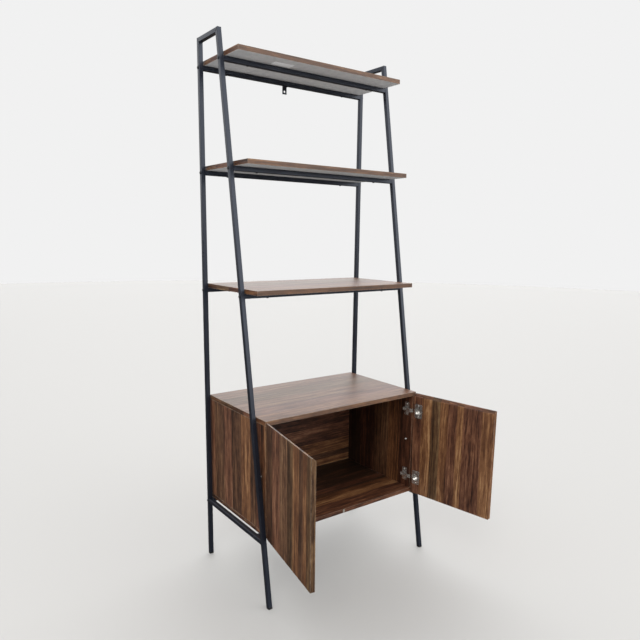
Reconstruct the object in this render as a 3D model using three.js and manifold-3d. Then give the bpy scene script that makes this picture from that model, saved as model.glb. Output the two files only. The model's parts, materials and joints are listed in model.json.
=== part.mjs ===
// Ladder shelf: two leaning steel side frames, three open shelves and a two-door cabinet.
// Millimetres, +Z up. The wall side is +Y, the front is -Y, and X runs left to right.
// The origin is on the floor, in the middle of the footprint with both doors open.
import * as THREE from "three";
import { mergeVertices } from "three/addons/utils/BufferGeometryUtils.js";
import Module from "manifold-3d";

const manifold = await Module();
manifold.setup();

// ---- Driving dimensions ----
const HEIGHT = 1829;
const FRAME_WIDTH = 704.5;
const FLOOR_DEPTH = 440.4; // wall to the front of the leaning posts, at the floor
const TOP_DEPTH = 146.6; // the same, at the top
const GAP = 0.3; // between pieces that touch
const ROUND_STEPS = 2; // segments in a rounded tube corner

const TUBE = 15;
const TUBE_WALL = 1.2;
const TUBE_RADIUS = 1.6;
const RAIL_END_BLOCK = 15; // solid threaded end of a cross rail

const BOARD = 15; // thickness of every shelf and cabinet panel
const SHELF_WIDTH = 666;
const SHELVES = [
  { name: "top", surface: 1760, depth: 244 },
  { name: "upper", surface: 1426, depth: 296 },
  { name: "lower", surface: 1028, depth: 348 },
];

const CABINET_TOP = 621;
const CABINET_BOTTOM = 223.5;
const CABINET_WIDTH = 664;
const CABINET_DEPTH = 392;
const BACK_PANEL = 12;
const BACK_PANEL_INSET = 4;
const LOWER_RAIL_BOLT = 352; // distance of the front lower cross rail from the wall

const DOOR_WIDTH = 330.5;
const DOOR_BOTTOM = 223;
const DOOR_TOP = 617;
const DOOR_BEVEL = 10; // finger pull cut along the inner top edge
const DOOR_REVEAL = 2.5; // closed door to the cabinet's front edges
const DOOR_OPEN = 100; // degrees from closed, as stored
const PIVOT_INSET = 6; // hinge axis from the door's outer edge
const PIVOT_SINK = 8; // hinge axis from the door's inner face

const HINGE_SPACING = 263;
const CUP_RADIUS = 17.5;
const CUP_DEPTH = 11;
const CUP_CENTRE = 22.5; // from the door's outer edge
const CUP_WALL = 1.3;
const CUP_BORE_RADIUS = 14;
const FLANGE = { width: 33, height: 54, thickness: 1.2, radius: 5 };
const PLATE = { back: 28, length: 22, height: 52, thickness: 2, radius: 5 };
// The arm's rise is from the side panel. Its bend, turn, nose, heel and dip place the curve that
// ends in the cup, measured from the hinge axis.
const ARM = {
  width: 13, rise: 13.5, thickness: 2.4, bend: 17, turn: 9, nose: 14, tip: 12.6, heel: 15, dip: 3,
};
const ARM_STEPS = 5; // segments in each curve of the arm

const BOLT = { shank: 3, head: 5.25, rise: 3, reach: 12, socket: 2, socketDepth: 1.8 };
const BOLT_BORE = BOLT.shank + 0.35; // radius of the holes that take a bolt
const BOLT_STEPS = 3; // segments in the head's rounded crown
const BOLT_SIDES = 12;
const ROUND_SIDES = 32;

const GLIDE = { rise: 5, stem: 16 };
const BRACKET = { x: -10.5, width: 17.5, drop: 26.5, thickness: 2, hole: 4, foot: 12 };

// ---- Places worked out from them ----
const LEAN = (FLOOR_DEPTH - TOP_DEPTH) / HEIGHT; // forward run of the front posts per mm of height
const LEAN_ANGLE = Math.atan(LEAN);
const POST_X = (FRAME_WIDTH - TUBE) / 2;
const POST_INNER = FRAME_WIDTH / 2 - TUBE;
const POST_OUTER = FRAME_WIDTH / 2;
const PIVOT_X = CABINET_WIDTH / 2 - PIVOT_INSET;
const PIVOT_WALL = CABINET_DEPTH + DOOR_REVEAL + PIVOT_SINK;
const OPEN = THREE.MathUtils.degToRad(DOOR_OPEN);
const DOOR_REACH = (DOOR_WIDTH - PIVOT_INSET) * Math.sin(OPEN) - PIVOT_SINK * Math.cos(OPEN);
const BACK = (PIVOT_WALL + DOOR_REACH) / 2;
const INNER_X = CABINET_WIDTH / 2 - BOARD;
const DOOR_MIDDLE = (DOOR_TOP + DOOR_BOTTOM) / 2;
const HINGES = [
  ["upper", DOOR_MIDDLE + HINGE_SPACING / 2],
  ["lower", DOOR_MIDDLE - HINGE_SPACING / 2],
];
const LOWER_RAIL_TOP = CABINET_BOTTOM - GAP;
const CABINET_BOLT_HEIGHT = 429;
const HALF_CABINET = CABINET_WIDTH / 2;
const END_STOCK = 40; // extra tube length before an end is cut at an angle
const FAR = 2 * HEIGHT;

// Y of a point at a given distance from the wall side of the object.
const fromWall = (distance) => BACK - distance;
// Distance from the wall of the front posts' front face and centre line at a height.
const postFront = (z) => FLOOR_DEPTH - LEAN * z;
const postMiddle = (z) => postFront(z) - TUBE / 2 / Math.cos(LEAN_ANGLE);
const postBack = (z) => postFront(z) - TUBE / Math.cos(LEAN_ANGLE);

// ---- Finishes ----
const finish = (color, roughness, metalness) =>
  new THREE.MeshStandardMaterial({ color, roughness, metalness });
const STEEL = finish(0x34383f, 0.5, 0.3);
const BOLT_STEEL = finish(0x3c4047, 0.4, 0.7);
const WALNUT = finish(0x6b4a38, 0.55, 0);
const NICKEL = finish(0xb9b6ae, 0.28, 1);
const PLASTIC = finish(0x1f2022, 0.6, 0);

// ---- Solids: three.js shapes joined and cut with manifold-3d ----
function solid(geometry) {
  const bare = new THREE.BufferGeometry();
  bare.setAttribute("position", geometry.getAttribute("position"));
  if (geometry.index) bare.setIndex(geometry.index);
  const merged = mergeVertices(bare, 1e-4);
  return new manifold.Manifold(
    new manifold.Mesh({
      numProp: 3,
      vertProperties: new Float32Array(merged.attributes.position.array),
      triVerts: new Uint32Array(merged.index.array),
    }),
  );
}

function geometryOf(body) {
  const mesh = body.getMesh();
  const geometry = new THREE.BufferGeometry();
  geometry.setAttribute("position", new THREE.BufferAttribute(mesh.vertProperties, 3));
  geometry.setIndex(new THREE.BufferAttribute(mesh.triVerts, 1));
  geometry.computeVertexNormals();
  return geometry;
}

const cut = (body, ...tools) => tools.reduce((rest, tool) => rest.subtract(tool), body);
const join = (...bodies) => bodies.reduce((sum, body) => sum.add(body));

// A box given by its lowest and highest corners.
function box(low, high) {
  const geometry = new THREE.BoxGeometry(high[0] - low[0], high[1] - low[1], high[2] - low[2]);
  return solid(
    geometry.translate((low[0] + high[0]) / 2, (low[1] + high[1]) / 2, (low[2] + high[2]) / 2),
  );
}

// A rod along X, between two X values, as wide as a bolt hole.
function rodX(radius, x0, x1, y, z) {
  const geometry = new THREE.CylinderGeometry(radius, radius, x1 - x0, BOLT_SIDES);
  return solid(geometry.rotateZ(-Math.PI / 2).translate((x0 + x1) / 2, y, z));
}

// A round rod along Y, between two Y values.
function rodY(radius, y0, y1, x, z) {
  const geometry = new THREE.CylinderGeometry(radius, radius, y1 - y0, ROUND_SIDES);
  return solid(geometry.translate(x, (y0 + y1) / 2, z));
}

function roundedRectangle(width, height, radius) {
  const shape = new THREE.Shape();
  const x = width / 2 - radius;
  const y = height / 2 - radius;
  const corners = [[x, y], [-x, y], [-x, -y], [x, -y]];
  corners.forEach(([cx, cy], quarter) => {
    const start = (quarter * Math.PI) / 2;
    shape.absarc(cx, cy, radius, start, start + Math.PI / 2, false);
  });
  shape.closePath();
  return shape;
}

// A rounded square or oblong prism standing on Z = 0.
function prism(width, height, radius, length) {
  const shape = roundedRectangle(width, height, radius);
  return new THREE.ExtrudeGeometry(shape, {
    depth: length,
    bevelEnabled: false,
    curveSegments: ROUND_STEPS,
  });
}

// Everything on the side of a plane that its normal points to, within a large box.
function halfSpace(point, normal) {
  const geometry = new THREE.BoxGeometry(FAR, FAR, FAR).translate(0, 0, FAR / 2);
  const turn = new THREE.Quaternion().setFromUnitVectors(
    new THREE.Vector3(0, 0, 1),
    new THREE.Vector3(...normal).normalize(),
  );
  return solid(geometry.applyQuaternion(turn).translate(...point));
}

// A tube's outside, and its hollow.
const tube = (length) => prism(TUBE, TUBE, TUBE_RADIUS, length);
const bore = (length) =>
  prism(TUBE - 2 * TUBE_WALL, TUBE - 2 * TUBE_WALL, TUBE_RADIUS - TUBE_WALL / 2, length);

// An open-ended square tube in a side frame, centred on POST_X, between two points that are given
// as distance from the wall and height.
function frameTube([wallA, zA], [wallB, zB]) {
  const along = new THREE.Vector3(0, wallA - wallB, zB - zA);
  const length = along.length();
  const tilt = -Math.atan2(along.y, along.z);
  const place = (geometry) =>
    solid(geometry.rotateX(tilt).translate(POST_X, fromWall(wallA), zA));
  return cut(place(tube(length)), place(bore(length + 2).translate(0, 0, -1)));
}

function piece(name, body, material) {
  const mesh = new THREE.Mesh(geometryOf(body), material);
  mesh.name = name;
  return mesh;
}

// ---- Side frames ----
const BAR_UNDERSIDE = HEIGHT - TUBE;
const POST_FOOT = GLIDE.rise + GAP;
const BACK_MITRE = { at: [0, fromWall(0), HEIGHT], normal: [0, -1, 1] };
const FRONT_MITRE = {
  at: [0, fromWall(TOP_DEPTH), HEIGHT],
  normal: [0, TUBE, postFront(HEIGHT) - postBack(BAR_UNDERSIDE)],
};

// A point of the mitre's plane moved along its normal, so that welded tubes keep their gap.
function beyondMitre(mitre) {
  const step = new THREE.Vector3(...mitre.normal).setLength(GAP);
  return [mitre.at[0], mitre.at[1] + step.y, mitre.at[2] + step.z];
}

const railMiddle = (shelf) => shelf.surface - BOARD - GAP - TUBE / 2;
const LOWER_RAIL_MIDDLE = LOWER_RAIL_TOP - TUBE / 2;

// A bolt hole through both walls of a frame tube.
const frameHole = (wall, z) =>
  rodX(BOLT_BORE, POST_INNER - 1, POST_OUTER + 1, fromWall(wall), z);

function backPost() {
  const post = frameTube([TUBE / 2, POST_FOOT], [TUBE / 2, HEIGHT]);
  const beyond = halfSpace(BACK_MITRE.at, BACK_MITRE.normal);
  const heights = [...SHELVES.map(railMiddle), LOWER_RAIL_MIDDLE];
  return cut(post, beyond, ...heights.map((z) => frameHole(TUBE / 2, z)));
}

function frontPost() {
  const top = HEIGHT + END_STOCK;
  const post = frameTube([postMiddle(-END_STOCK), -END_STOCK], [postMiddle(top), top]);
  const floor = halfSpace([0, 0, POST_FOOT], [0, 0, -1]);
  const beyond = halfSpace(FRONT_MITRE.at, FRONT_MITRE.normal);
  const z = CABINET_BOLT_HEIGHT;
  const insert = rodX(BOLT_BORE, POST_INNER - 1, POST_X, fromWall(postMiddle(z)), z);
  const holes = SHELVES.map(railMiddle).map((height) => frameHole(postMiddle(height), height));
  return cut(post, floor, beyond, insert, ...holes);
}

function topBar() {
  const middle = HEIGHT - TUBE / 2;
  const bar = frameTube([-TUBE, middle], [TOP_DEPTH + TUBE, middle]);
  const ends = [BACK_MITRE, FRONT_MITRE].map((mitre) =>
    halfSpace(beyondMitre(mitre), mitre.normal.map((value) => -value)),
  );
  return cut(bar, ...ends);
}

// Low rail of a side frame, butted between the posts and drilled for the lower cross rail's bolt.
function sideRail() {
  const z = LOWER_RAIL_MIDDLE;
  const rail = frameTube([TUBE + GAP, z], [FLOOR_DEPTH, z]);
  const post = halfSpace(
    [0, fromWall(postBack(z) - GAP), z],
    [0, -Math.cos(LEAN_ANGLE), Math.sin(LEAN_ANGLE)],
  );
  return cut(rail, post, frameHole(LOWER_RAIL_BOLT, z));
}

// Plastic glide: a pad under the post with a stem that follows the post's lean inside the tube.
function glide(wall, lean) {
  const pad = prism(TUBE, TUBE * Math.hypot(1, lean), TUBE_RADIUS, GLIDE.rise);
  const stemSide = TUBE - 2 * TUBE_WALL - 2 * GAP;
  const stem = prism(stemSide, stemSide, 1, GLIDE.stem);
  const shear = new THREE.Matrix4().set(1, 0, 0, 0, 0, 1, lean, 0, 0, 0, 1, 0, 0, 0, 0, 1);
  stem.translate(0, 0, GLIDE.rise - 1).applyMatrix4(shear);
  return join(...[pad, stem].map((shape) => solid(shape.translate(POST_X, fromWall(wall), 0))));
}

// ---- Cross rails and bolts ----
// A steel rail across the frames, hollow between its solid ends, with a bolt bore right through.
function crossRail(wall, z) {
  const half = POST_INNER - GAP;
  const inside = half - RAIL_END_BLOCK;
  const place = (geometry, start) =>
    solid(geometry.rotateY(Math.PI / 2).translate(start, fromWall(wall), z));
  return cut(
    place(tube(2 * half), -half),
    place(bore(2 * inside), -inside),
    rodX(BOLT_BORE, -half - 1, half + 1, fromWall(wall), z),
  );
}

// Button-head socket bolt whose head sits on a face at X = 0 and whose shank runs towards -X.
function bolt(grip) {
  const profile = new THREE.Path();
  profile.moveTo(0, -grip);
  profile.lineTo(BOLT.shank, -grip);
  profile.lineTo(BOLT.shank, GAP);
  profile.lineTo(BOLT.head, GAP);
  profile.quadraticCurveTo(BOLT.head, BOLT.rise + GAP, BOLT.head / 2, BOLT.rise + GAP);
  profile.lineTo(0, BOLT.rise + GAP);
  const body = new THREE.LatheGeometry(profile.getPoints(BOLT_STEPS), BOLT_SIDES);
  const socket = new THREE.CylinderGeometry(BOLT.socket, BOLT.socket, 2 * BOLT.socketDepth, 6);
  socket.translate(0, BOLT.rise + GAP, 0);
  return cut(...[body, socket].map((shape) => solid(shape.rotateZ(-Math.PI / 2))));
}

// ---- Cabinet ----
function sidePanel() {
  const z = CABINET_BOLT_HEIGHT;
  const panel = box(
    [INNER_X, fromWall(CABINET_DEPTH), CABINET_BOTTOM + BOARD + GAP],
    [HALF_CABINET, BACK, CABINET_TOP - BOARD - GAP],
  );
  return cut(panel, rodX(BOLT_BORE, INNER_X - 1, HALF_CABINET + 1, fromWall(postMiddle(z)), z));
}

const topPanel = () =>
  box(
    [-HALF_CABINET, fromWall(CABINET_DEPTH), CABINET_TOP - BOARD],
    [HALF_CABINET, BACK, CABINET_TOP],
  );

const bottomPanel = () =>
  box(
    [-HALF_CABINET, fromWall(CABINET_DEPTH), CABINET_BOTTOM],
    [HALF_CABINET, BACK, CABINET_BOTTOM + BOARD],
  );

const backPanel = () =>
  box(
    [GAP - INNER_X, fromWall(BACK_PANEL_INSET + BACK_PANEL), CABINET_BOTTOM + BOARD + GAP],
    [INNER_X - GAP, fromWall(BACK_PANEL_INSET), CABINET_TOP - BOARD - GAP],
  );

// Pieces below are in the door's own frame: the hinge axis is at X = 0, Y = 0, and the closed
// door runs towards -X with its inner face towards +Y.
const CUP_X = PIVOT_INSET - CUP_CENTRE;

function door() {
  const slab = box(
    [PIVOT_INSET - DOOR_WIDTH, PIVOT_SINK - BOARD, DOOR_BOTTOM],
    [PIVOT_INSET, PIVOT_SINK, DOOR_TOP],
  );
  const floor = PIVOT_SINK - CUP_DEPTH - GAP;
  const recesses = HINGES.map(([, z]) =>
    rodY(CUP_RADIUS + GAP, floor, PIVOT_SINK + 1, CUP_X, z),
  );
  const pull = halfSpace([0, PIVOT_SINK, DOOR_TOP - DOOR_BEVEL], [0, 1, 1]);
  return cut(slab, pull, ...recesses);
}

// Hinge cup: a round cup let into the door, under a flange with rounded ends.
function hingeCup(z) {
  const face = PIVOT_SINK + GAP;
  const cup = rodY(CUP_RADIUS, PIVOT_SINK - CUP_DEPTH, face + GAP, CUP_X, z);
  const flange = prism(FLANGE.width, FLANGE.height, FLANGE.radius, FLANGE.thickness);
  flange.rotateX(-Math.PI / 2).translate(CUP_X, face, z);
  const floor = PIVOT_SINK - CUP_DEPTH + CUP_WALL;
  const well = rodY(CUP_BORE_RADIUS, floor, face + FLANGE.thickness + 1, CUP_X, z);
  return cut(join(cup, solid(flange)), well);
}

// Hinge arm in the cabinet's frame: a plate with wings on the side panel, and a channel that
// runs forward from it and dips into the cup.
function hingeArm(z) {
  const face = INNER_X - GAP;
  const plateY = fromWall(CABINET_DEPTH - PLATE.back);
  const wings = prism(PLATE.height, PLATE.length, PLATE.radius, PLATE.thickness);
  wings.rotateY(-Math.PI / 2).translate(face, plateY, z);
  const crest = face - ARM.rise;
  const inside = crest + ARM.thickness;
  const axisY = fromWall(PIVOT_WALL);
  const bendY = axisY + ARM.bend;
  const turnY = axisY + ARM.turn;
  const dipY = axisY + ARM.dip;
  const outline = new THREE.Shape();
  outline.moveTo(face, plateY + PLATE.length / 2);
  outline.lineTo(crest, plateY + PLATE.length / 2);
  outline.lineTo(crest, bendY);
  outline.quadraticCurveTo(crest, turnY, PIVOT_X - ARM.nose, dipY);
  outline.lineTo(PIVOT_X - ARM.tip, dipY + ARM.thickness / 2);
  outline.quadraticCurveTo(PIVOT_X - ARM.heel, turnY, inside, bendY);
  outline.lineTo(inside, plateY - PLATE.length / 2);
  outline.lineTo(face, plateY - PLATE.length / 2);
  outline.closePath();
  const channel = new THREE.ExtrudeGeometry(outline, {
    depth: ARM.width,
    bevelEnabled: false,
    curveSegments: ARM_STEPS,
  });
  return join(solid(wings), solid(channel.translate(0, 0, z - ARM.width / 2)));
}

// ---- Wall bracket: an angle under the top back rail with a tab that takes a wall screw ----
function wallBracket() {
  const railBottom = SHELVES[0].surface - BOARD - GAP - TUBE - GAP;
  const left = BRACKET.x - BRACKET.width / 2;
  const right = BRACKET.x + BRACKET.width / 2;
  const tab = box(
    [left, BACK - BRACKET.thickness, railBottom - BRACKET.drop],
    [right, BACK, railBottom],
  );
  const foot = box(
    [left, BACK - BRACKET.foot, railBottom - BRACKET.thickness],
    [right, BACK - 1, railBottom],
  );
  const holeZ = railBottom - BRACKET.drop + BRACKET.width / 2;
  return cut(
    join(tab, foot),
    rodY(BRACKET.hole, BACK - BRACKET.foot, BACK + 1, BRACKET.x, holeZ),
  );
}

// ---- Assembly ----
const shelf = new THREE.Group();

for (const [side, mirror] of [["right", 1], ["left", -1]]) {
  const half = new THREE.Group();
  half.scale.x = mirror;
  half.add(piece(`${side}_back_post`, backPost(), STEEL));
  half.add(piece(`${side}_front_post`, frontPost(), STEEL));
  half.add(piece(`${side}_top_bar`, topBar(), STEEL));
  half.add(piece(`${side}_side_rail`, sideRail(), STEEL));
  half.add(piece(`${side}_back_glide`, glide(TUBE / 2, 0), PLASTIC));
  half.add(piece(`${side}_front_glide`, glide(postMiddle(0), LEAN), PLASTIC));
  half.add(piece(`${side}_cabinet_side`, sidePanel(), WALNUT));

  const addBolt = (name, x, wall, z, grip, turn) => {
    const mesh = piece(name, bolt(grip), BOLT_STEEL);
    mesh.position.set(x, fromWall(wall), z);
    mesh.rotation.y = turn;
    half.add(mesh);
  };
  const railGrip = TUBE + BOLT.reach;
  for (const level of SHELVES) {
    const z = railMiddle(level);
    addBolt(`${side}_${level.name}_front_bolt`, POST_OUTER, postMiddle(z), z, railGrip, 0);
    addBolt(`${side}_${level.name}_back_bolt`, POST_OUTER, TUBE / 2, z, railGrip, 0);
  }
  const baseZ = LOWER_RAIL_MIDDLE;
  addBolt(`${side}_base_front_bolt`, POST_OUTER, LOWER_RAIL_BOLT, baseZ, railGrip, 0);
  addBolt(`${side}_base_back_bolt`, POST_OUTER, TUBE / 2, baseZ, railGrip, 0);
  const cabinetGrip = POST_INNER - INNER_X + TUBE / 2 - BOLT.shank;
  const boltWall = postMiddle(CABINET_BOLT_HEIGHT);
  addBolt(`${side}_cabinet_bolt`, INNER_X, boltWall, CABINET_BOLT_HEIGHT, cabinetGrip, Math.PI);

  const swing = new THREE.Group();
  swing.position.set(PIVOT_X, fromWall(PIVOT_WALL), 0);
  swing.rotation.z = OPEN;
  swing.add(piece(`${side}_door`, door(), WALNUT));
  for (const [level, z] of HINGES) {
    swing.add(piece(`${side}_${level}_hinge_cup`, hingeCup(z), NICKEL));
    half.add(piece(`${side}_${level}_hinge_arm`, hingeArm(z), NICKEL));
  }
  half.add(swing);
  shelf.add(half);
}

for (const level of SHELVES) {
  const board = box(
    [-SHELF_WIDTH / 2, fromWall(level.depth), level.surface - BOARD],
    [SHELF_WIDTH / 2, BACK, level.surface],
  );
  const z = railMiddle(level);
  shelf.add(piece(`${level.name}_shelf`, board, WALNUT));
  for (const [end, wall] of [["front", postMiddle(z)], ["back", TUBE / 2]])
    shelf.add(piece(`${level.name}_${end}_rail`, crossRail(wall, z), STEEL));
}
for (const [end, wall] of [["front", LOWER_RAIL_BOLT], ["back", TUBE / 2]])
  shelf.add(piece(`base_${end}_rail`, crossRail(wall, LOWER_RAIL_MIDDLE), STEEL));
shelf.add(piece("cabinet_top", topPanel(), WALNUT));
shelf.add(piece("cabinet_bottom", bottomPanel(), WALNUT));
shelf.add(piece("cabinet_back", backPanel(), WALNUT));
shelf.add(piece("wall_bracket", wallBracket(), STEEL));

export default shelf;
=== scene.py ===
import json
import math
import random

import bmesh
import bpy
from mathutils import Matrix, Vector


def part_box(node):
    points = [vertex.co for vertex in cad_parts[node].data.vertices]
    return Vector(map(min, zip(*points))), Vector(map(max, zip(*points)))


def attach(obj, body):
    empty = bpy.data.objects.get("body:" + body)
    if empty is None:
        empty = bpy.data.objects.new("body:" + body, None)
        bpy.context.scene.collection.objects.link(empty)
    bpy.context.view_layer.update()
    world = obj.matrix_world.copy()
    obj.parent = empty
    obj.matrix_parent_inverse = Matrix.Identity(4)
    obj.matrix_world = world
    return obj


# Ladder shelf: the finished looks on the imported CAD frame. Metres, +Z up, the wall side is +Y.
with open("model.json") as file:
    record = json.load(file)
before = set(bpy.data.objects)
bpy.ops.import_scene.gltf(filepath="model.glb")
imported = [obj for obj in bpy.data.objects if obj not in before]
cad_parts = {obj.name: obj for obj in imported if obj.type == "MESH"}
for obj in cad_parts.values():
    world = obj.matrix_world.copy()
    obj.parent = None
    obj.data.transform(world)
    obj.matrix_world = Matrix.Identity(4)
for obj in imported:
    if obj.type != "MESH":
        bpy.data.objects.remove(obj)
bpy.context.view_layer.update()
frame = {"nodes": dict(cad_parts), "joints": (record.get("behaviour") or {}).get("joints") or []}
NODES = frame["nodes"]
JOINTS = {joint["name"]: joint for joint in frame["joints"]}
OPEN = -math.radians(JOINTS["right_door_hinge"]["range_deg"][0])  # the doors' angle from closed
SCENE = bpy.context.scene
MM = 0.001
QUARTER = math.pi / 2

# ---------------------------------------------------------------- camera, light and floor
CAMERA_AT = (-1.26165, -1.57355, 1.19953)
YAW, PITCH, ROLL = (math.radians(angle) for angle in (36.415, -10.519, 0.733))
LENS = 33.466
SHIFT_Y = 0.0403
BACKDROP = 0.88
# The studio's brightness in reflections and soft light. Each glow adds to it, and is
# (brightness, direction, cosine of the angle from that direction where it fades out).
STUDIO = 0.84
GLOWS = [
    (1.35, Vector((0.60, 0.74, 0.34)).normalized(), 0.35),  # the wall behind the object
    (1.10, Vector((0.62, -0.78, 0.12)).normalized(), 0.60),  # the open side in front of it
]
STUDIO_BELOW = (0.075, 0.062, 0.05, 1)
HORIZON = 0.06  # half the height, as a direction's Z, over which the studio fades into its floor
FLOOR_RADIUS = 14
FLOOR_SIDES = 96
FLOOR_COLOUR = (0.57, 0.563, 0.55, 1)


def add_camera():
    forward = Vector(
        (math.sin(YAW) * math.cos(PITCH), math.cos(YAW) * math.cos(PITCH), math.sin(PITCH))
    )
    level = Vector((math.cos(YAW), -math.sin(YAW), 0))
    above = level.cross(forward)
    right = level * math.cos(ROLL) + above * math.sin(ROLL)
    up = above * math.cos(ROLL) - level * math.sin(ROLL)
    data = bpy.data.cameras.new("camera")
    data.sensor_width = 36
    data.lens = LENS
    data.shift_y = SHIFT_Y
    data.clip_start = 0.05
    data.clip_end = 60
    camera = bpy.data.objects.new("camera", data)
    SCENE.collection.objects.link(camera)
    turn = Matrix((right, up, -forward)).transposed().to_4x4()
    camera.matrix_world = Matrix.Translation(CAMERA_AT) @ turn
    SCENE.camera = camera


def add_lamp(name, at, towards, size, power, colour):
    data = bpy.data.lights.new(name, "AREA")
    data.shape = "DISK"
    data.size = size
    data.energy = power
    data.color = colour
    lamp = bpy.data.objects.new(name, data)
    SCENE.collection.objects.link(lamp)
    lamp.location = at
    lamp.rotation_euler = (Vector(towards) - Vector(at)).to_track_quat("-Z", "Y").to_euler()


# ---------------------------------------------------------------- node trees
class Graph:
    """A node tree, with short calls that add a node and link its sockets or set their values."""

    def __init__(self, tree):
        self.nodes = tree.nodes
        self.links = tree.links

    def put(self, socket, value):
        if isinstance(value, bpy.types.NodeSocket):
            self.links.new(value, socket)
        else:
            socket.default_value = value

    def add(self, kind, *values, out=0, props=None, **named):
        node = self.nodes.new("ShaderNode" + kind)
        for key, value in (props or {}).items():
            setattr(node, key, value)
        for socket, value in zip(node.inputs, values):
            self.put(socket, value)
        for key, value in named.items():
            self.put(node.inputs[key.replace("_", " ")], value)
        return node.outputs[out]

    def math(self, operation, *values):
        return self.add("Math", *values, props={"operation": operation})

    def total(self, *values):
        result = values[0]
        for value in values[1:]:
            result = self.math("ADD", result, value)
        return result

    def times(self, *values):
        result = values[0]
        for value in values[1:]:
            result = self.math("MULTIPLY", result, value)
        return result

    def least(self, *values):
        result = values[0]
        for value in values[1:]:
            result = self.math("MINIMUM", result, value)
        return result

    def vector(self, operation, a, b):
        return self.add("VectorMath", a, b, props={"operation": operation})

    def split(self, vector):
        return self.add("SeparateXYZ", vector).node.outputs

    def scaled(self, value, low, high, to_low=0.0, to_high=1.0):
        return self.add("MapRange", value, low, high, to_low, to_high)

    def noise(self, vector, scale, detail=2.0, roughness=0.5):
        stretched = self.vector("MULTIPLY", vector, scale)
        return self.add(
            "TexNoise", Vector=stretched, Scale=1.0, Detail=detail, Roughness=roughness
        )

    def ramp(self, value, stops, mode="LINEAR"):
        node = self.nodes.new("ShaderNodeValToRGB")
        node.color_ramp.interpolation = mode
        elements = node.color_ramp.elements
        while len(elements) < len(stops):
            elements.new(0.5)
        for element, (place, colour) in zip(elements, stops):
            element.position = place
            element.color = (*colour, 1)
        self.put(node.inputs["Fac"], value)
        return node.outputs["Color"]

    def mix(self, factor, a, b, mode="MIX"):
        node = self.nodes.new("ShaderNodeMix")
        node.data_type = "RGBA"
        node.blend_type = mode
        colour_a, colour_b = (socket for socket in node.inputs if socket.type == "RGBA")
        self.put(node.inputs["Factor"], factor)
        self.put(colour_a, a)
        self.put(colour_b, b)
        return next(socket for socket in node.outputs if socket.type == "RGBA")


class Material(Graph):
    """A material with a Principled shader; place is a point of the object, in metres."""

    def __init__(self, name):
        self.data = bpy.data.materials.new(name)
        self.data.use_nodes = True
        super().__init__(self.data.node_tree)
        self.shader = self.nodes["Principled BSDF"]
        self.place = self.add("TexCoord", out=3)

    def set(self, **values):
        for key, value in values.items():
            self.put(self.shader.inputs[key.replace("_", " ")], value)

    def bump(self, height, strength, distance):
        bump = self.add("Bump", Height=height, Strength=strength, Distance=distance)
        self.set(Normal=bump)


def add_world():
    """A studio with two glowing sides and a dim floor; the camera sees a pale backdrop."""
    world = bpy.data.worlds.new("studio")
    SCENE.world = world
    SCENE.view_settings.view_transform = "Standard"
    world.use_nodes = True
    graph = Graph(world.node_tree)
    towards = graph.add("TexCoord", out=0)
    level = STUDIO
    for brightness, direction, fade in GLOWS:
        cosine = graph.vector("DOT_PRODUCT", towards, direction).node.outputs[1]
        glow = graph.add(
            "MapRange", cosine, fade, 1.0, 0.0, brightness,
            props={"interpolation_type": "SMOOTHSTEP"},
        )
        level = graph.math("ADD", glow, level)
    lit = graph.add("CombineColor", level, level, level)
    height = graph.split(towards)[2]
    around = graph.mix(graph.scaled(height, -HORIZON, HORIZON), STUDIO_BELOW, lit)
    seen = graph.add("LightPath", out=0)
    colour = graph.mix(seen, around, (BACKDROP, BACKDROP, BACKDROP, 1))
    background = graph.nodes["Background"]
    graph.put(background.inputs["Color"], colour)
    background.inputs["Strength"].default_value = 1.0


def add_floor():
    mesh = bpy.data.meshes.new("floor")
    bm = bmesh.new()
    bmesh.ops.create_circle(bm, cap_ends=True, segments=FLOOR_SIDES, radius=FLOOR_RADIUS)
    bm.to_mesh(mesh)
    bm.free()
    floor = bpy.data.objects.new("floor", mesh)
    SCENE.collection.objects.link(floor)
    floor.visible_glossy = False
    material = Material("floor")
    material.set(Base_Color=FLOOR_COLOUR, Roughness=0.6)
    mesh.materials.append(material.data)


# ---------------------------------------------------------------- walnut laminate
WALNUT = [
    (0.0, (0.010, 0.005, 0.003)),
    (0.22, (0.032, 0.013, 0.007)),
    (0.40, (0.078, 0.033, 0.016)),
    (0.56, (0.135, 0.062, 0.030)),
    (0.72, (0.205, 0.105, 0.052)),
    (0.86, (0.300, 0.168, 0.086)),
    (1.0, (0.420, 0.270, 0.150)),
]
# Tints of the planks, by hue.
OLIVE, GOLD, PLAIN, RED = 0.0, 0.33, 0.67, 1.0
TINTS = [
    (OLIVE, (0.90, 1.0, 0.92)),
    (GOLD, (1.10, 0.96, 0.80)),
    (PLAIN, (1.0, 1.0, 1.0)),
    (RED, (1.08, 0.92, 0.96)),
]
# Pale colour of the arrises: wear, and a painted highlight where the edges catch light.
EDGE_WEAR_AND_HIGHLIGHT = (0.36, 0.27, 0.19, 1)
EDGING_AND_SHEEN = (0.155, 0.112, 0.088, 1)  # tape along the long edges of the shelves and cabinet top, greyed as a painted sheen
EDGING_AND_SHEEN_SHARE = 0.4
EDGING_AND_SHEEN_TONE = 0.07  # how much paler than the board it is, as painted sheen
END_TONE = 0.5  # tone of the tape on a board's ends
PAINTED_SHEEN_SHARE = 0.5  # how much of the figure is left on these boards' tops, faded as a painted sheen
FACING = 0.7  # a face looks along an axis if its normal's part along that axis is more than this
BACKING = [(0.35, (0.50, 0.52, 0.54)), (0.65, (0.59, 0.60, 0.61))]
BACKED = ("top_shelf", "upper_shelf", "lower_shelf", "cabinet_bottom")  # pale foil underneath
PAINTED_SHEEN = ("top_shelf", "upper_shelf", "lower_shelf", "cabinet_top")  # fainter figure on top as painted sheen; their long edges also get the paler edging


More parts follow.
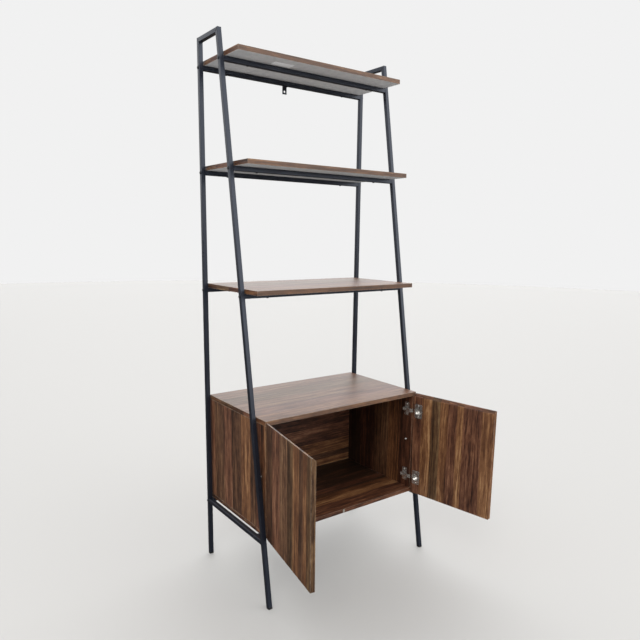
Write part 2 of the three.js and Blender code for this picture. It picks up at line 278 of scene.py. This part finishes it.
def wood(name, turn, low, high, first, planks, seed):
    """Walnut laminate for a board.

    turn is the rotation into the grain's frame, where the grain is along X, and low and high are
    the board's corners there. planks is a list of (start, tone, tone at its end, figure, hue), with
    starts in mm from the board's low or high Y, as first says.
    """
    tree = Material(name + "_walnut")
    normal = tree.add("TexCoord", out=1)
    grain = tree.add("Mapping", Vector=tree.place, Rotation=turn)
    facing = tree.add("Mapping", props={"vector_type": "NORMAL"}, Vector=normal, Rotation=turn)
    along, across, deep = tree.split(grain)
    faces = tree.split(facing)
    flats = [tree.math("GREATER_THAN", tree.math("ABSOLUTE", side), FACING) for side in faces]
    at_end = flats[0]

    # Tone, place across the plank and figure of each plank, then two random numbers and its hue.
    width = high[1] - low[1]
    start, stop = (low[1], high[1]) if first == "low" else (high[1], low[1])
    across_share = tree.scaled(across, start, stop)
    rng = random.Random(seed)
    shades, numbers = [], []
    soft = 0.4 * MM / width
    for index, (begin, tone, tone_end, figure, hue) in enumerate(planks):
        left = begin * MM / width
        right = planks[index + 1][0] * MM / width if index + 1 < len(planks) else 1.0
        shades += [(left + soft, (tone, 0, figure)), (right - soft, (tone_end, 1, figure))]
        numbers.append((left, (rng.random(), rng.random(), hue)))
    tone, local, figure = (
        tree.add("SeparateColor", tree.ramp(across_share, shades), out=i) for i in range(3)
    )
    plank = tree.ramp(across_share, numbers, "CONSTANT")
    inner_tone = tree.times(tone, tree.math("SUBTRACT", 1.0, at_end))
    tone = tree.math("ADD", inner_tone, tree.times(at_end, END_TONE))

    # Edging tape on the ends runs across the board's own grain.
    swapped = tree.add("CombineXYZ", across, along, deep)
    grain = tree.mix(at_end, grain, swapped)
    shift = tree.vector("MULTIPLY", plank, (7.0, 3.0, 0.0))
    shift = tree.vector("ADD", shift, (seed * 1.7, seed * 0.37, seed * 0.11))
    moved = tree.vector("ADD", grain, shift)
    wander = tree.scaled(tree.noise(moved, (3.0, 14, 14)), 0.25, 0.75, -0.007, 0.007)
    ripple = tree.scaled(tree.noise(moved, (24, 60, 60)), 0.25, 0.75, -0.0009, 0.0009)
    bend = tree.add("CombineXYZ", 0.0, tree.total(wander, ripple), 0.0)
    bent = tree.vector("ADD", moved, bend)

    bands = tree.noise(bent, (2.2, 62, 62), 2, 0.5)
    streaks = tree.noise(bent, (5.5, 175, 175), 4, 0.65)
    fibres = tree.noise(bent, (16, 950, 950), 3, 0.6)
    blotch = tree.noise(moved, (7, 26, 26), 3, 0.6)
    flecks = tree.noise(moved, (34, 110, 110), 3, 0.65)

    # Arched figure along the middle of some planks.
    middle = tree.math("SUBTRACT", local, 0.5)
    arch = tree.times(middle, middle, 46.0)
    warp = tree.times(tree.noise(moved, (12, 40, 40), 4, 0.65), 16.0)
    run = tree.times(tree.split(bent)[0], 95.0)
    phase = tree.total(run, arch, warp)
    rings = tree.scaled(tree.math("SINE", phase), -0.2, 1.0, -0.35, 1.0)
    patch = tree.scaled(tree.noise(moved, (5, 20, 20), 1, 0.5), 0.38, 0.60)
    ring_tone = tree.times(rings, figure, patch, 0.24)

    # Pores: short dark dashes.
    pores = tree.scaled(tree.noise(moved, (60, 1500, 1500), 1, 0.5), 0.60, 0.74)

    figure_tone = tree.total(
        tree.scaled(bands, 0.32, 0.68, -0.12, 0.12),
        tree.scaled(streaks, 0.34, 0.66, -0.23, 0.23),
        tree.scaled(fibres, 0.3, 0.7, -0.10, 0.10),
        tree.scaled(blotch, 0.35, 0.65, -0.07, 0.07),
        tree.scaled(flecks, 0.35, 0.65, -0.09, 0.09),
        ring_tone,
        tree.times(pores, -0.14),
    )
    # Painted sheen: the figure on the tops is faded, as a glancing reflection would wash it out.
    if name in PAINTED_SHEEN:
        above = tree.math("GREATER_THAN", faces[2], FACING)
        figure_tone = tree.times(figure_tone, tree.scaled(above, 0.0, 1.0, 1.0, PAINTED_SHEEN_SHARE))
        # The long edges are paler: edge tape, and painted sheen.
        tone = tree.math("ADD", tone, tree.times(flats[1], EDGING_AND_SHEEN_TONE))
    value = tree.math("ADD", tone, figure_tone)
    hue = tree.add("SeparateColor", plank, out=2)
    colour = tree.mix(1.0, tree.ramp(value, WALNUT), tree.ramp(hue, TINTS), "MULTIPLY")
    # Paler, greyer long edges: edge tape with a painted sheen on it.
    if name in PAINTED_SHEEN:
        colour = tree.mix(tree.times(flats[1], EDGING_AND_SHEEN_SHARE), colour, EDGING_AND_SHEEN)

    # Worn arrises with a painted highlight: a paler colour near each face's edges stands for both
    # wear and the light the arrises catch. edge is the distance to the nearest edge of the face.
    reach = []
    for coordinate, flat, start, stop in zip((along, across, deep), flats, low, high):
        inwards = tree.least(
            tree.math("SUBTRACT", coordinate, start), tree.math("SUBTRACT", stop, coordinate)
        )
        reach.append(tree.math("ADD", inwards, flat))
    rub = tree.noise(tree.place, (70, 70, 70), 3, 0.6)
    edge = tree.math("ADD", tree.least(*reach), tree.scaled(rub, 0.3, 0.7, 0.0010, -0.0004))
    wear_and_highlight = tree.scaled(edge, 0.0015, 0.0004, 0.0, 0.55)
    colour = tree.mix(wear_and_highlight, colour, EDGE_WEAR_AND_HIGHLIGHT)

    rough = tree.scaled(streaks, 0.3, 0.7, 0.50, 0.40)
    if name in BACKED:
        below = tree.math("LESS_THAN", faces[2], -FACING)
        backing = tree.ramp(tree.noise(tree.place, (60, 60, 60), 3), BACKING)
        colour = tree.mix(below, colour, backing)
    tree.set(Base_Color=colour, Roughness=rough, Specular_IOR_Level=0.5)
    tree.bump(tree.math("SUBTRACT", tree.times(fibres, 0.5), pores), 0.25, 0.00025)
    return tree.data


# ---------------------------------------------------------------- metals and plastics
def powder_coat():
    tree = Material("frame_steel")
    cloud = tree.noise(tree.place, (7, 7, 7), 3, 0.6)
    peel = tree.noise(tree.place, (900, 900, 900), 2, 0.5)
    scuff = tree.noise(tree.place, (34, 34, 12), 5, 0.75)
    marks = tree.scaled(scuff, 0.66, 0.74)
    colour = tree.ramp(cloud, [(0.3, (0.009, 0.012, 0.020)), (0.7, (0.012, 0.016, 0.027))])
    colour = tree.mix(tree.times(marks, 0.35), colour, (0.11, 0.112, 0.12, 1))
    rough = tree.math("ADD", tree.scaled(cloud, 0.3, 0.7, 0.28, 0.38), tree.times(marks, 0.12))
    tree.set(
        Base_Color=colour, Roughness=rough, Specular_IOR_Level=0.75, Specular_Tint=(0.8, 0.86, 1, 1)
    )
    tree.bump(peel, 0.15, 0.0002)
    return tree.data


def nickel():
    tree = Material("hinge_nickel")
    brushed = tree.noise(tree.place, (250, 250, 40), 4, 0.7)
    stain = tree.noise(tree.place, (90, 90, 90), 3, 0.6)
    colour = tree.ramp(stain, [(0.35, (0.72, 0.70, 0.67)), (0.65, (0.86, 0.85, 0.83))])
    rough = tree.scaled(brushed, 0.3, 0.7, 0.20, 0.32)
    tree.set(Base_Color=colour, Roughness=rough, Metallic=0.88)
    tree.bump(brushed, 0.1, 0.0001)
    return tree.data


def bolt_steel():
    tree = Material("bolt_steel")
    spots = tree.noise(tree.place, (400, 400, 400), 3, 0.6)
    colour = tree.ramp(spots, [(0.35, (0.030, 0.033, 0.040)), (0.7, (0.07, 0.073, 0.08))])
    tree.set(Base_Color=colour, Roughness=tree.scaled(spots, 0.3, 0.7, 0.28, 0.42), Metallic=0.5)
    tree.bump(spots, 0.1, 0.0001)
    return tree.data


def plastic(name, clean, dusty):
    tree = Material(name)
    moulded = tree.noise(tree.place, (700, 700, 700), 3, 0.6)
    dust = tree.scaled(tree.noise(tree.place, (120, 120, 120), 4, 0.7), 0.5, 0.75)
    colour = tree.mix(tree.times(dust, 0.4), clean, dusty)
    tree.set(Base_Color=colour, Roughness=tree.scaled(moulded, 0.3, 0.7, 0.45, 0.62))
    tree.bump(moulded, 0.2, 0.0002)
    return tree.data


# ---------------------------------------------------------------- CAD nodes
BOARD_ARRIS = 0.6 * MM
FITTING_ARRIS = 0.3 * MM
WELD_DISTANCE = 1e-5
BEVEL_ANGLE = math.radians(40)


def finish_node(name, material, bevel=0.0):
    node = NODES[name]
    node.data.materials.clear()
    node.data.materials.append(material)
    weld = node.modifiers.new("weld", "WELD")
    weld.merge_threshold = WELD_DISTANCE
    if bevel:
        edge = node.modifiers.new("bevel", "BEVEL")
        edge.width = bevel
        edge.segments = 3
        edge.limit_method = "ANGLE"
        edge.angle_limit = BEVEL_ANGLE
    smooth = node.modifiers.new("smooth", "WEIGHTED_NORMAL")
    smooth.weight = 100
    for polygon in node.data.polygons:
        polygon.use_smooth = True


def turned_corners(name, turn):
    """Lowest and highest corner of a node after a rotation."""
    matrix = turn.to_matrix()
    points = [matrix @ vertex.co for vertex in NODES[name].data.vertices]
    return [[pick(point[i] for point in points) for i in range(3)] for pick in (min, max)]


def grain_turn(name):
    """The rotation that brings a board's grain to X and its face to Z."""
    if name.endswith("_door"):
        side = 1 if name == "right_door" else -1
        shut = Matrix.Rotation(-side * OPEN, 3, "Z")
        return (
            Matrix.Rotation(QUARTER, 3, "X") @ Matrix.Rotation(QUARTER, 3, "Y") @ shut
        ).to_euler("XYZ")
    if name.endswith("_side"):
        return Matrix.Rotation(QUARTER, 3, "Y").to_euler("XYZ")
    if name == "cabinet_back":
        return Matrix.Rotation(QUARTER, 3, "X").to_euler("XYZ")
    return Matrix.Identity(3).to_euler("XYZ")


# Planks of each board, as wood() takes them. Boards are counted from the wall, the back from its
# foot and the doors from the hinges.
PLANKS = {
    "top_shelf": [
        (0, 0.50, 0.56, 0, PLAIN), (62, 0.46, 0.54, 0.2, RED), (150, 0.56, 0.50, 0, GOLD),
    ],
    "upper_shelf": [
        (0, 0.54, 0.50, 0, PLAIN), (80, 0.47, 0.56, 0.3, RED), (190, 0.56, 0.48, 0, GOLD),
    ],
    "lower_shelf": [
        (0, 0.56, 0.50, 0, PLAIN), (70, 0.49, 0.56, 0.2, OLIVE), (160, 0.46, 0.51, 0, RED),
        (260, 0.57, 0.53, 0.2, GOLD),
    ],
    "cabinet_top": [
        (0, 0.54, 0.50, 0, PLAIN), (85, 0.47, 0.50, 0, OLIVE), (170, 0.52, 0.57, 0.2, PLAIN),
        (250, 0.47, 0.52, 0, RED), (325, 0.58, 0.54, 0.2, GOLD),
    ],
    # The rear planks' near-black tones are painted shade at the back of the cabinet; the front
    # planks' tones are grain.
    "cabinet_bottom": [
        (0, 0.02, 0.08, 0, PLAIN), (90, 0.10, 0.20, 0, PLAIN), (215, 0.34, 0.42, 0.2, RED),
        (245, 0.26, 0.32, 0, PLAIN), (263, 0.44, 0.54, 0, GOLD), (290, 0.66, 0.76, 0, GOLD),
        (327, 0.42, 0.50, 0.3, RED),
    ],
    "cabinet_back": [
        (0, 0.88, 0.84, 0, GOLD), (5, 0.66, 0.62, 0, GOLD), (30, 0.36, 0.40, 0, PLAIN),
        (53, 0.60, 0.66, 0.3, GOLD), (106, 0.36, 0.44, 0.4, RED), (140, 0.56, 0.54, 0, RED),
        (173, 0.42, 0.44, 0.3, RED), (240, 0.5, 0.42, 0, PLAIN),
    ],
    "left_cabinet_side": [
        (0, 0.52, 0.62, 0, RED), (33, 0.44, 0.50, 0.2, PLAIN), (107, 0.52, 0.66, 0, RED),
        (163, 0.40, 0.46, 0.3, PLAIN), (230, 0.56, 0.72, 0, GOLD), (293, 0.34, 0.44, 0, PLAIN),
        (330, 0.52, 0.44, 0, RED), (362, 0.36, 0.58, 0, GOLD),
    ],
    # The rear planks' dark tones are painted shade inside the cabinet, darkest at the back.
    "right_cabinet_side": [
        (0, 0.02, 0.12, 0, PLAIN), (90, 0.22, 0.26, 0.3, RED), (180, 0.34, 0.44, 0, PLAIN),
        (262, 0.52, 0.42, 0.3, GOLD), (325, 0.34, 0.46, 0, RED),
    ],
    "left_door": [
        (0, 0.36, 0.42, 0, PLAIN), (50, 0.60, 0.56, 0.3, RED), (110, 0.52, 0.64, 0.4, PLAIN),
        (167, 0.34, 0.46, 0, OLIVE), (207, 0.64, 0.52, 0, GOLD), (250, 0.36, 0.42, 0, PLAIN),
        (277, 0.60, 0.52, 0, GOLD), (303, 0.40, 0.54, 0, OLIVE),
    ],
    "right_door": [
        (0, 0.48, 0.54, 0.2, RED), (37, 0.60, 0.82, 0.5, GOLD), (79, 0.42, 0.64, 0, OLIVE),
        (117, 0.72, 0.66, 0, GOLD), (150, 0.49, 0.51, 0.4, RED), (187, 0.68, 0.78, 0, GOLD),
        (213, 0.49, 0.53, 0.4, RED), (285, 0.73, 0.65, 0, GOLD),
    ],
}


def finish_boards():
    for seed, (name, planks) in enumerate(PLANKS.items(), 1):
        turn = grain_turn(name)
        low, high = turned_corners(name, turn)
        first = "low" if name == "left_door" else "high"
        finish_node(name, wood(name, turn, low, high, first, planks, seed), BOARD_ARRIS)


# ---------------------------------------------------------------- small pieces
SMOOTH_ANGLE = math.radians(38)
SCREW_SIDES = 24
# A screw head's outline, as shares of its radius and rise, and the half length and half width of
# its recess's arms, as shares of its radius.
SCREW_PROFILE = [(1.0, 0.0), (1.0, 0.35), (0.94, 0.68), (0.80, 0.90), (0.62, 1.0)]
RECESS_ARM, RECESS_HALF = 0.46, 0.11
RECESS_TAPER = 0.6
RECESS_FLOOR = 0.35
BEAD_SIDES = 8
BEAD_STEP = 0.9 * MM
TUBE_CORNER = 1.6 * MM
MITRE_BEAD = 0.45 * MM  # radius of the ground-down bead at a mitred corner
FILLET_BEAD = 1.0 * MM  # radius of the bead where a rail meets a post
BOARD_SCREW_X = 250 * MM
BOARD_SCREW = (4.0 * MM, 2.2 * MM)  # radius and rise of the head, as for the other screws below


def add_piece(name, bm, material, body):
    mesh = bpy.data.meshes.new(name)
    bmesh.ops.recalc_face_normals(bm, faces=bm.faces)
    bm.to_mesh(mesh)
    bm.free()
    for polygon in mesh.polygons:
        polygon.use_smooth = True
    mesh.set_sharp_from_angle(angle=SMOOTH_ANGLE)
    mesh.materials.append(material)
    piece = bpy.data.objects.new(name, mesh)
    SCENE.collection.objects.link(piece)
    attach(piece, body)
    return piece


def add_screw(bm, at, axis, radius, rise):
    """A pan-head screw with a cross recess. Its head stands on the point, along the axis."""
    sides = SCREW_SIDES
    across = Vector(axis).to_track_quat("Z", "Y").to_matrix().to_4x4()
    place = Matrix.Translation(at) @ across
    rings = []
    for share, height in SCREW_PROFILE:
        ring = []
        for side in range(sides):
            angle = 2 * math.pi * side / sides
            point = Vector((math.cos(angle), math.sin(angle), 0)) * radius * share
            ring.append(bm.verts.new(place @ (point + Vector((0, 0, rise * height)))))
        rings.append(ring)
    for below, above in zip(rings, rings[1:]):
        for side in range(sides):
            turn = (side + 1) % sides
            bm.faces.new((below[side], below[turn], above[turn], above[side]))
    bm.faces.new(rings[0])
    arm, half = RECESS_ARM * radius, RECESS_HALF * radius
    cross = [
        (arm, -half), (arm, half), (half, half), (half, arm), (-half, arm), (-half, half),
        (-arm, half), (-arm, -half), (-half, -half), (-half, -arm), (half, -arm), (half, -half),
    ]
    top = [bm.verts.new(place @ Vector((x, y, rise))) for x, y in cross]
    foot = [
        bm.verts.new(place @ Vector((RECESS_TAPER * x, RECESS_TAPER * y, RECESS_FLOOR * rise)))
        for x, y in cross
    ]
    rim = []
    for loop in (rings[-1], top):
        rim += [
            bm.edges.get((a, b)) or bm.edges.new((a, b)) for a, b in zip(loop, loop[1:] + loop[:1])
        ]
    bmesh.ops.triangle_fill(bm, edges=rim, use_beauty=True)
    for i in range(len(cross)):
        j = (i + 1) % len(cross)
        bm.faces.new((top[i], top[j], foot[j], foot[i]))
    bm.faces.new(foot)


def add_prism(bm, outline, low, high, axis=2):
    """A prism whose outline lies in the plane across an axis, between two values on that axis."""
    rows = []
    for value in (low, high):
        row = []
        for point in outline:
            place = list(point)
            place.insert(axis, value)
            row.append(bm.verts.new(place))
        rows.append(row)
    count = len(outline)
    for i in range(count):
        j = (i + 1) % count
        bm.faces.new((rows[0][i], rows[0][j], rows[1][j], rows[1][i]))
    bm.faces.new(rows[0])
    bm.faces.new(rows[1])


def add_bead(bm, path, radius, seed):
    """A rippled weld bead along a closed path."""
    rng = random.Random(seed)
    sides = BEAD_SIDES
    count = len(path)
    rings = []
    for index, point in enumerate(path):
        tangent = (path[(index + 1) % count] - path[index - 1]).normalized()
        turn = tangent.to_track_quat("Z", "Y").to_matrix()
        size = radius * (0.9 + 0.16 * math.sin(index * 2.1) + 0.12 * rng.random())
        ring = []
        for side in range(sides):
            angle = 2 * math.pi * side / sides
            offset = Vector((math.cos(angle), math.sin(angle), 0)) * size
            ring.append(bm.verts.new(point + turn @ offset))
        rings.append(ring)
    # Neighbouring rings may be turned against each other, so each joins at its nearest point.
    for ring, following in zip(rings, rings[1:] + rings[:1]):
        offset = min(range(sides), key=lambda k: (following[k].co - ring[0].co).length)
        for side in range(sides):
            turn = (side + 1) % sides
            bm.faces.new(
                (
                    ring[side], ring[turn],
                    following[(turn + offset) % sides], following[(side + offset) % sides],
                )
            )


def tube_loop(x, inner, outer, half, corner, step):
    """A rounded square round a tube at x, whose inner and outer faces meet two (y, z) points."""
    outline = []
    for quarter in range(4):
        centre = [(half - corner) * sign for sign in ((1, 1), (-1, 1), (-1, -1), (1, -1))[quarter]]
        for part in range(5):
            angle = (quarter + part / 4) * QUARTER
            outline.append(
                Vector((centre[0] + corner * math.cos(angle), centre[1] + corner * math.sin(angle)))
            )
    loop = []
    for a, b in zip(outline, outline[1:] + outline[:1]):
        count = max(1, round((b - a).length / step))
        loop += [a.lerp(b, part / count) for part in range(count)]
    path = []
    for point in loop:
        share = (point.y + half) / (2 * half)
        path.append(Vector((x + point.x, *Vector(inner).lerp(Vector(outer), share))))
    return path


def add_welds():
    """Beads where the tubes of each side frame meet."""
    for side in ("left", "right"):
        post_low, post_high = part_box(side + "_front_post")
        back_low, back_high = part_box(side + "_back_post")
        bar_low, bar_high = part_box(side + "_top_bar")
        rail_low, rail_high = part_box(side + "_side_rail")
        tube = post_high[0] - post_low[0]
        x = (post_low[0] + post_high[0]) / 2
        lean = (bar_low[1] - post_low[1]) / (bar_high[2] - post_low[2])
        depth = tube * math.hypot(1, lean)

        def inside(z):
            return post_low[1] + lean * (z - post_low[2]) + depth

        under = bar_high[2] - tube
        joints = {
            "back_corner": ((bar_high[1] - tube, under), (bar_high[1], bar_high[2])),
            "front_corner": ((inside(under), under), (bar_low[1], bar_high[2])),
            "rail_back": ((back_low[1], rail_low[2]), (back_low[1], rail_high[2])),
            "rail_front": (
                (inside(rail_low[2]), rail_low[2]), (inside(rail_high[2]), rail_high[2])
            ),
        }
        for seed, (joint, (inner, outer)) in enumerate(joints.items()):
            radius = MITRE_BEAD if "corner" in joint else FILLET_BEAD
            path = tube_loop(x, inner, outer, tube / 2, TUBE_CORNER, BEAD_STEP)
            bm = bmesh.new()
            add_bead(bm, path, radius, seed)
            add_piece(f"{side}_{joint}_weld", bm, STEEL, "frame")


def add_board_screws():
    """Screws that come up through each cross rail into its board."""
    for level in ("top", "upper", "lower", "base"):
        for end in ("front", "back"):
            low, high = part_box(f"{level}_{end}_rail")
            bm = bmesh.new()
            for x in (-BOARD_SCREW_X, BOARD_SCREW_X):
                at = (x, (low[1] + high[1]) / 2, low[2])
                add_screw(bm, at, (0, 0, -1), *BOARD_SCREW)
            add_piece(f"{level}_{end}_board_screws", bm, BOLT, "frame")


# Hinge fittings, in mm. The cup, its flange and its links are placed in the shut door's frame, with
# X and Y from the hinge axis and Y towards the wall. The arm is placed from the cabinet's side and
# the middle of its plate. Screws, links and cheeks are spread about the hinge's middle height.
CUP_CENTRE = -16.5
FLANGE_FACE = 9.5
FLANGE_SCREWS = (-21.5, 21.5)
FLANGE_SCREW = (3.4 * MM, 1.2 * MM)
LINK_MIDDLES = (-4.2, 4.2)
LINK_HALF = 1.6
LINK = [(-10.5, 4.6), (-9.6, 4.6), (-3.6, 9.6), (3.0, 9.6), (3.0, 10.3), (-4.0, 10.3)]
ARM_RISE = 13.5
PLATE_HALF = 11
PLATE_THICKNESS = 2
PLATE_SCREWS = (-18.5, 18.5)
PLATE_SCREW = (3.4 * MM, 1.4 * MM)
ARM_SCREWS = (5.5, -3.5)  # from the middle of the plate, along the arm
ARM_SCREW = (3.0 * MM, 1.0 * MM)
CHEEK_LOWS = (-7.6, 6.5)
CHEEK_THICKNESS = 1.1
CHEEK_BACK, CHEEK_FRONT = 11, 21
CHEEK_DEPTHS = (4, 7.5)  # below the crest, at the front and at the back


def add_hinge_fittings():
    """Screws, side cheeks and links that finish each hinge."""
    for side, sign in (("right", 1), ("left", -1)):
        joint = JOINTS[side + "_door_hinge"]
        axis = Vector(joint["pos_m"])
        swing = Matrix.Rotation(sign * OPEN, 4, "Z") @ Matrix.Scale(sign, 4, (1, 0, 0))
        for level in ("upper", "lower"):
            arm_low, arm_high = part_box(f"{side}_{level}_hinge_arm")
            z = (arm_low[2] + arm_high[2]) / 2

            # On the door.
            bm = bmesh.new()
            for offset in FLANGE_SCREWS:
                at = (CUP_CENTRE * MM, FLANGE_FACE * MM, offset * MM)
                add_screw(bm, at, (0, 1, 0), *FLANGE_SCREW)
            for middle in LINK_MIDDLES:
                outline = [(x * MM, y * MM) for x, y in LINK]
                add_prism(bm, outline, (middle - LINK_HALF) * MM, (middle + LINK_HALF) * MM)
            bmesh.ops.transform(
                bm,
                matrix=Matrix.Translation((axis.x, axis.y, z)) @ swing,
                verts=bm.verts,
            )
            name = f"{side}_{level}_cup_fittings"
            add_piece(name, bm, NICKEL, f"{side}_door_leaf")

            # On the cabinet's side panel, drawn for the right and mirrored for the left.
            panel = max(abs(arm_low[0]), abs(arm_high[0]))
            crest = panel - ARM_RISE * MM
            plate = arm_high[1] - PLATE_HALF * MM
            bm = bmesh.new()
            for offset in PLATE_SCREWS:
                at = (panel - PLATE_THICKNESS * MM, plate, offset * MM)
                add_screw(bm, at, (-1, 0, 0), *PLATE_SCREW)
            for offset in ARM_SCREWS:
                add_screw(bm, (crest, plate + offset * MM, 0), (-1, 0, 0), *ARM_SCREW)
            back, front = plate - CHEEK_BACK * MM, plate - CHEEK_FRONT * MM
            cheek = [
                (crest, back), (crest, front),
                (crest + CHEEK_DEPTHS[0] * MM, front), (crest + CHEEK_DEPTHS[1] * MM, back),
            ]
            for low in CHEEK_LOWS:
                add_prism(bm, cheek, low * MM, (low + CHEEK_THICKNESS) * MM)
            bmesh.ops.transform(
                bm,
                matrix=Matrix.Translation((0, 0, z)) @ Matrix.Scale(sign, 4, (1, 0, 0)),
                verts=bm.verts,
            )
            add_piece(f"{side}_{level}_arm_fittings", bm, NICKEL, "frame")


# Width, height and corner radius, in metres, of the sticker and the door stop.
STICKER_SIZE = (0.074, 0.034, 0.003)
STICKER_THICKNESS = 0.25 * MM
STICKER_X, STICKER_Y = -137 * MM, 176 * MM
STOP_SIZE = (0.007, 0.012, 0.003)
STOP_X = -8.5 * MM
STOP_THICKNESS = 1.6 * MM
CLEARANCE = 0.02 * MM  # between either of them and its board


def rounded_outline(width, height, radius, parts=5):
    outline = []
    for quarter in range(4):
        signs = ((1, 1), (-1, 1), (-1, -1), (1, -1))[quarter]
        cx, cy = (width / 2 - radius) * signs[0], (height / 2 - radius) * signs[1]
        for part in range(parts + 1):
            angle = (quarter + part / parts) * QUARTER
            outline.append((cx + radius * math.cos(angle), cy + radius * math.sin(angle)))
    return outline


def add_small_parts():
    # A blank sticker under the front of the top board.
    low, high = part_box("top_shelf")
    bm = bmesh.new()
    outline = [(x + STICKER_X, y + STICKER_Y) for x, y in rounded_outline(*STICKER_SIZE)]
    add_prism(bm, outline, low[2] - STICKER_THICKNESS, low[2] - CLEARANCE)
    add_piece("blank_sticker", bm, STICKER, "frame")

    # A soft stop on the front edge of the cabinet's bottom panel.
    low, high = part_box("cabinet_bottom")
    bm = bmesh.new()
    middle = (low[2] + high[2]) / 2
    outline = [(x + STOP_X, z + middle) for x, z in rounded_outline(*STOP_SIZE)]
    add_prism(bm, outline, low[1] - STOP_THICKNESS, low[1] - CLEARANCE, axis=1)
    add_piece("door_stop", bm, STOP, "frame")


# ---------------------------------------------------------------- the scene
add_camera()
add_world()
add_lamp(
    "key", at=(-2.6, -2.6, 3.4), towards=(0, 0, 0.7), size=2.2, power=45, colour=(1, 0.98, 0.95)
)
add_floor()

STEEL = powder_coat()
NICKEL = nickel()
BOLT = bolt_steel()
PLASTIC = plastic("foot_plastic", clean=(0.012, 0.012, 0.013, 1), dusty=(0.09, 0.088, 0.085, 1))
STICKER = plastic("sticker", clean=(0.84, 0.88, 0.91, 1), dusty=(0.72, 0.76, 0.79, 1))
STOP = plastic("stop_plastic", clean=(0.35, 0.32, 0.27, 1), dusty=(0.22, 0.20, 0.17, 1))

finish_boards()
for name in NODES:
    if name.endswith("_glide"):
        finish_node(name, PLASTIC, FITTING_ARRIS)
    elif name.endswith("_cabinet_bolt"):
        finish_node(name, NICKEL)
    elif name.endswith("_bolt"):
        finish_node(name, BOLT)
    elif "hinge" in name:
        finish_node(name, NICKEL, FITTING_ARRIS)
    elif name not in PLANKS:
        finish_node(name, STEEL)
add_welds()
add_board_screws()
add_hinge_fittings()
add_small_parts()
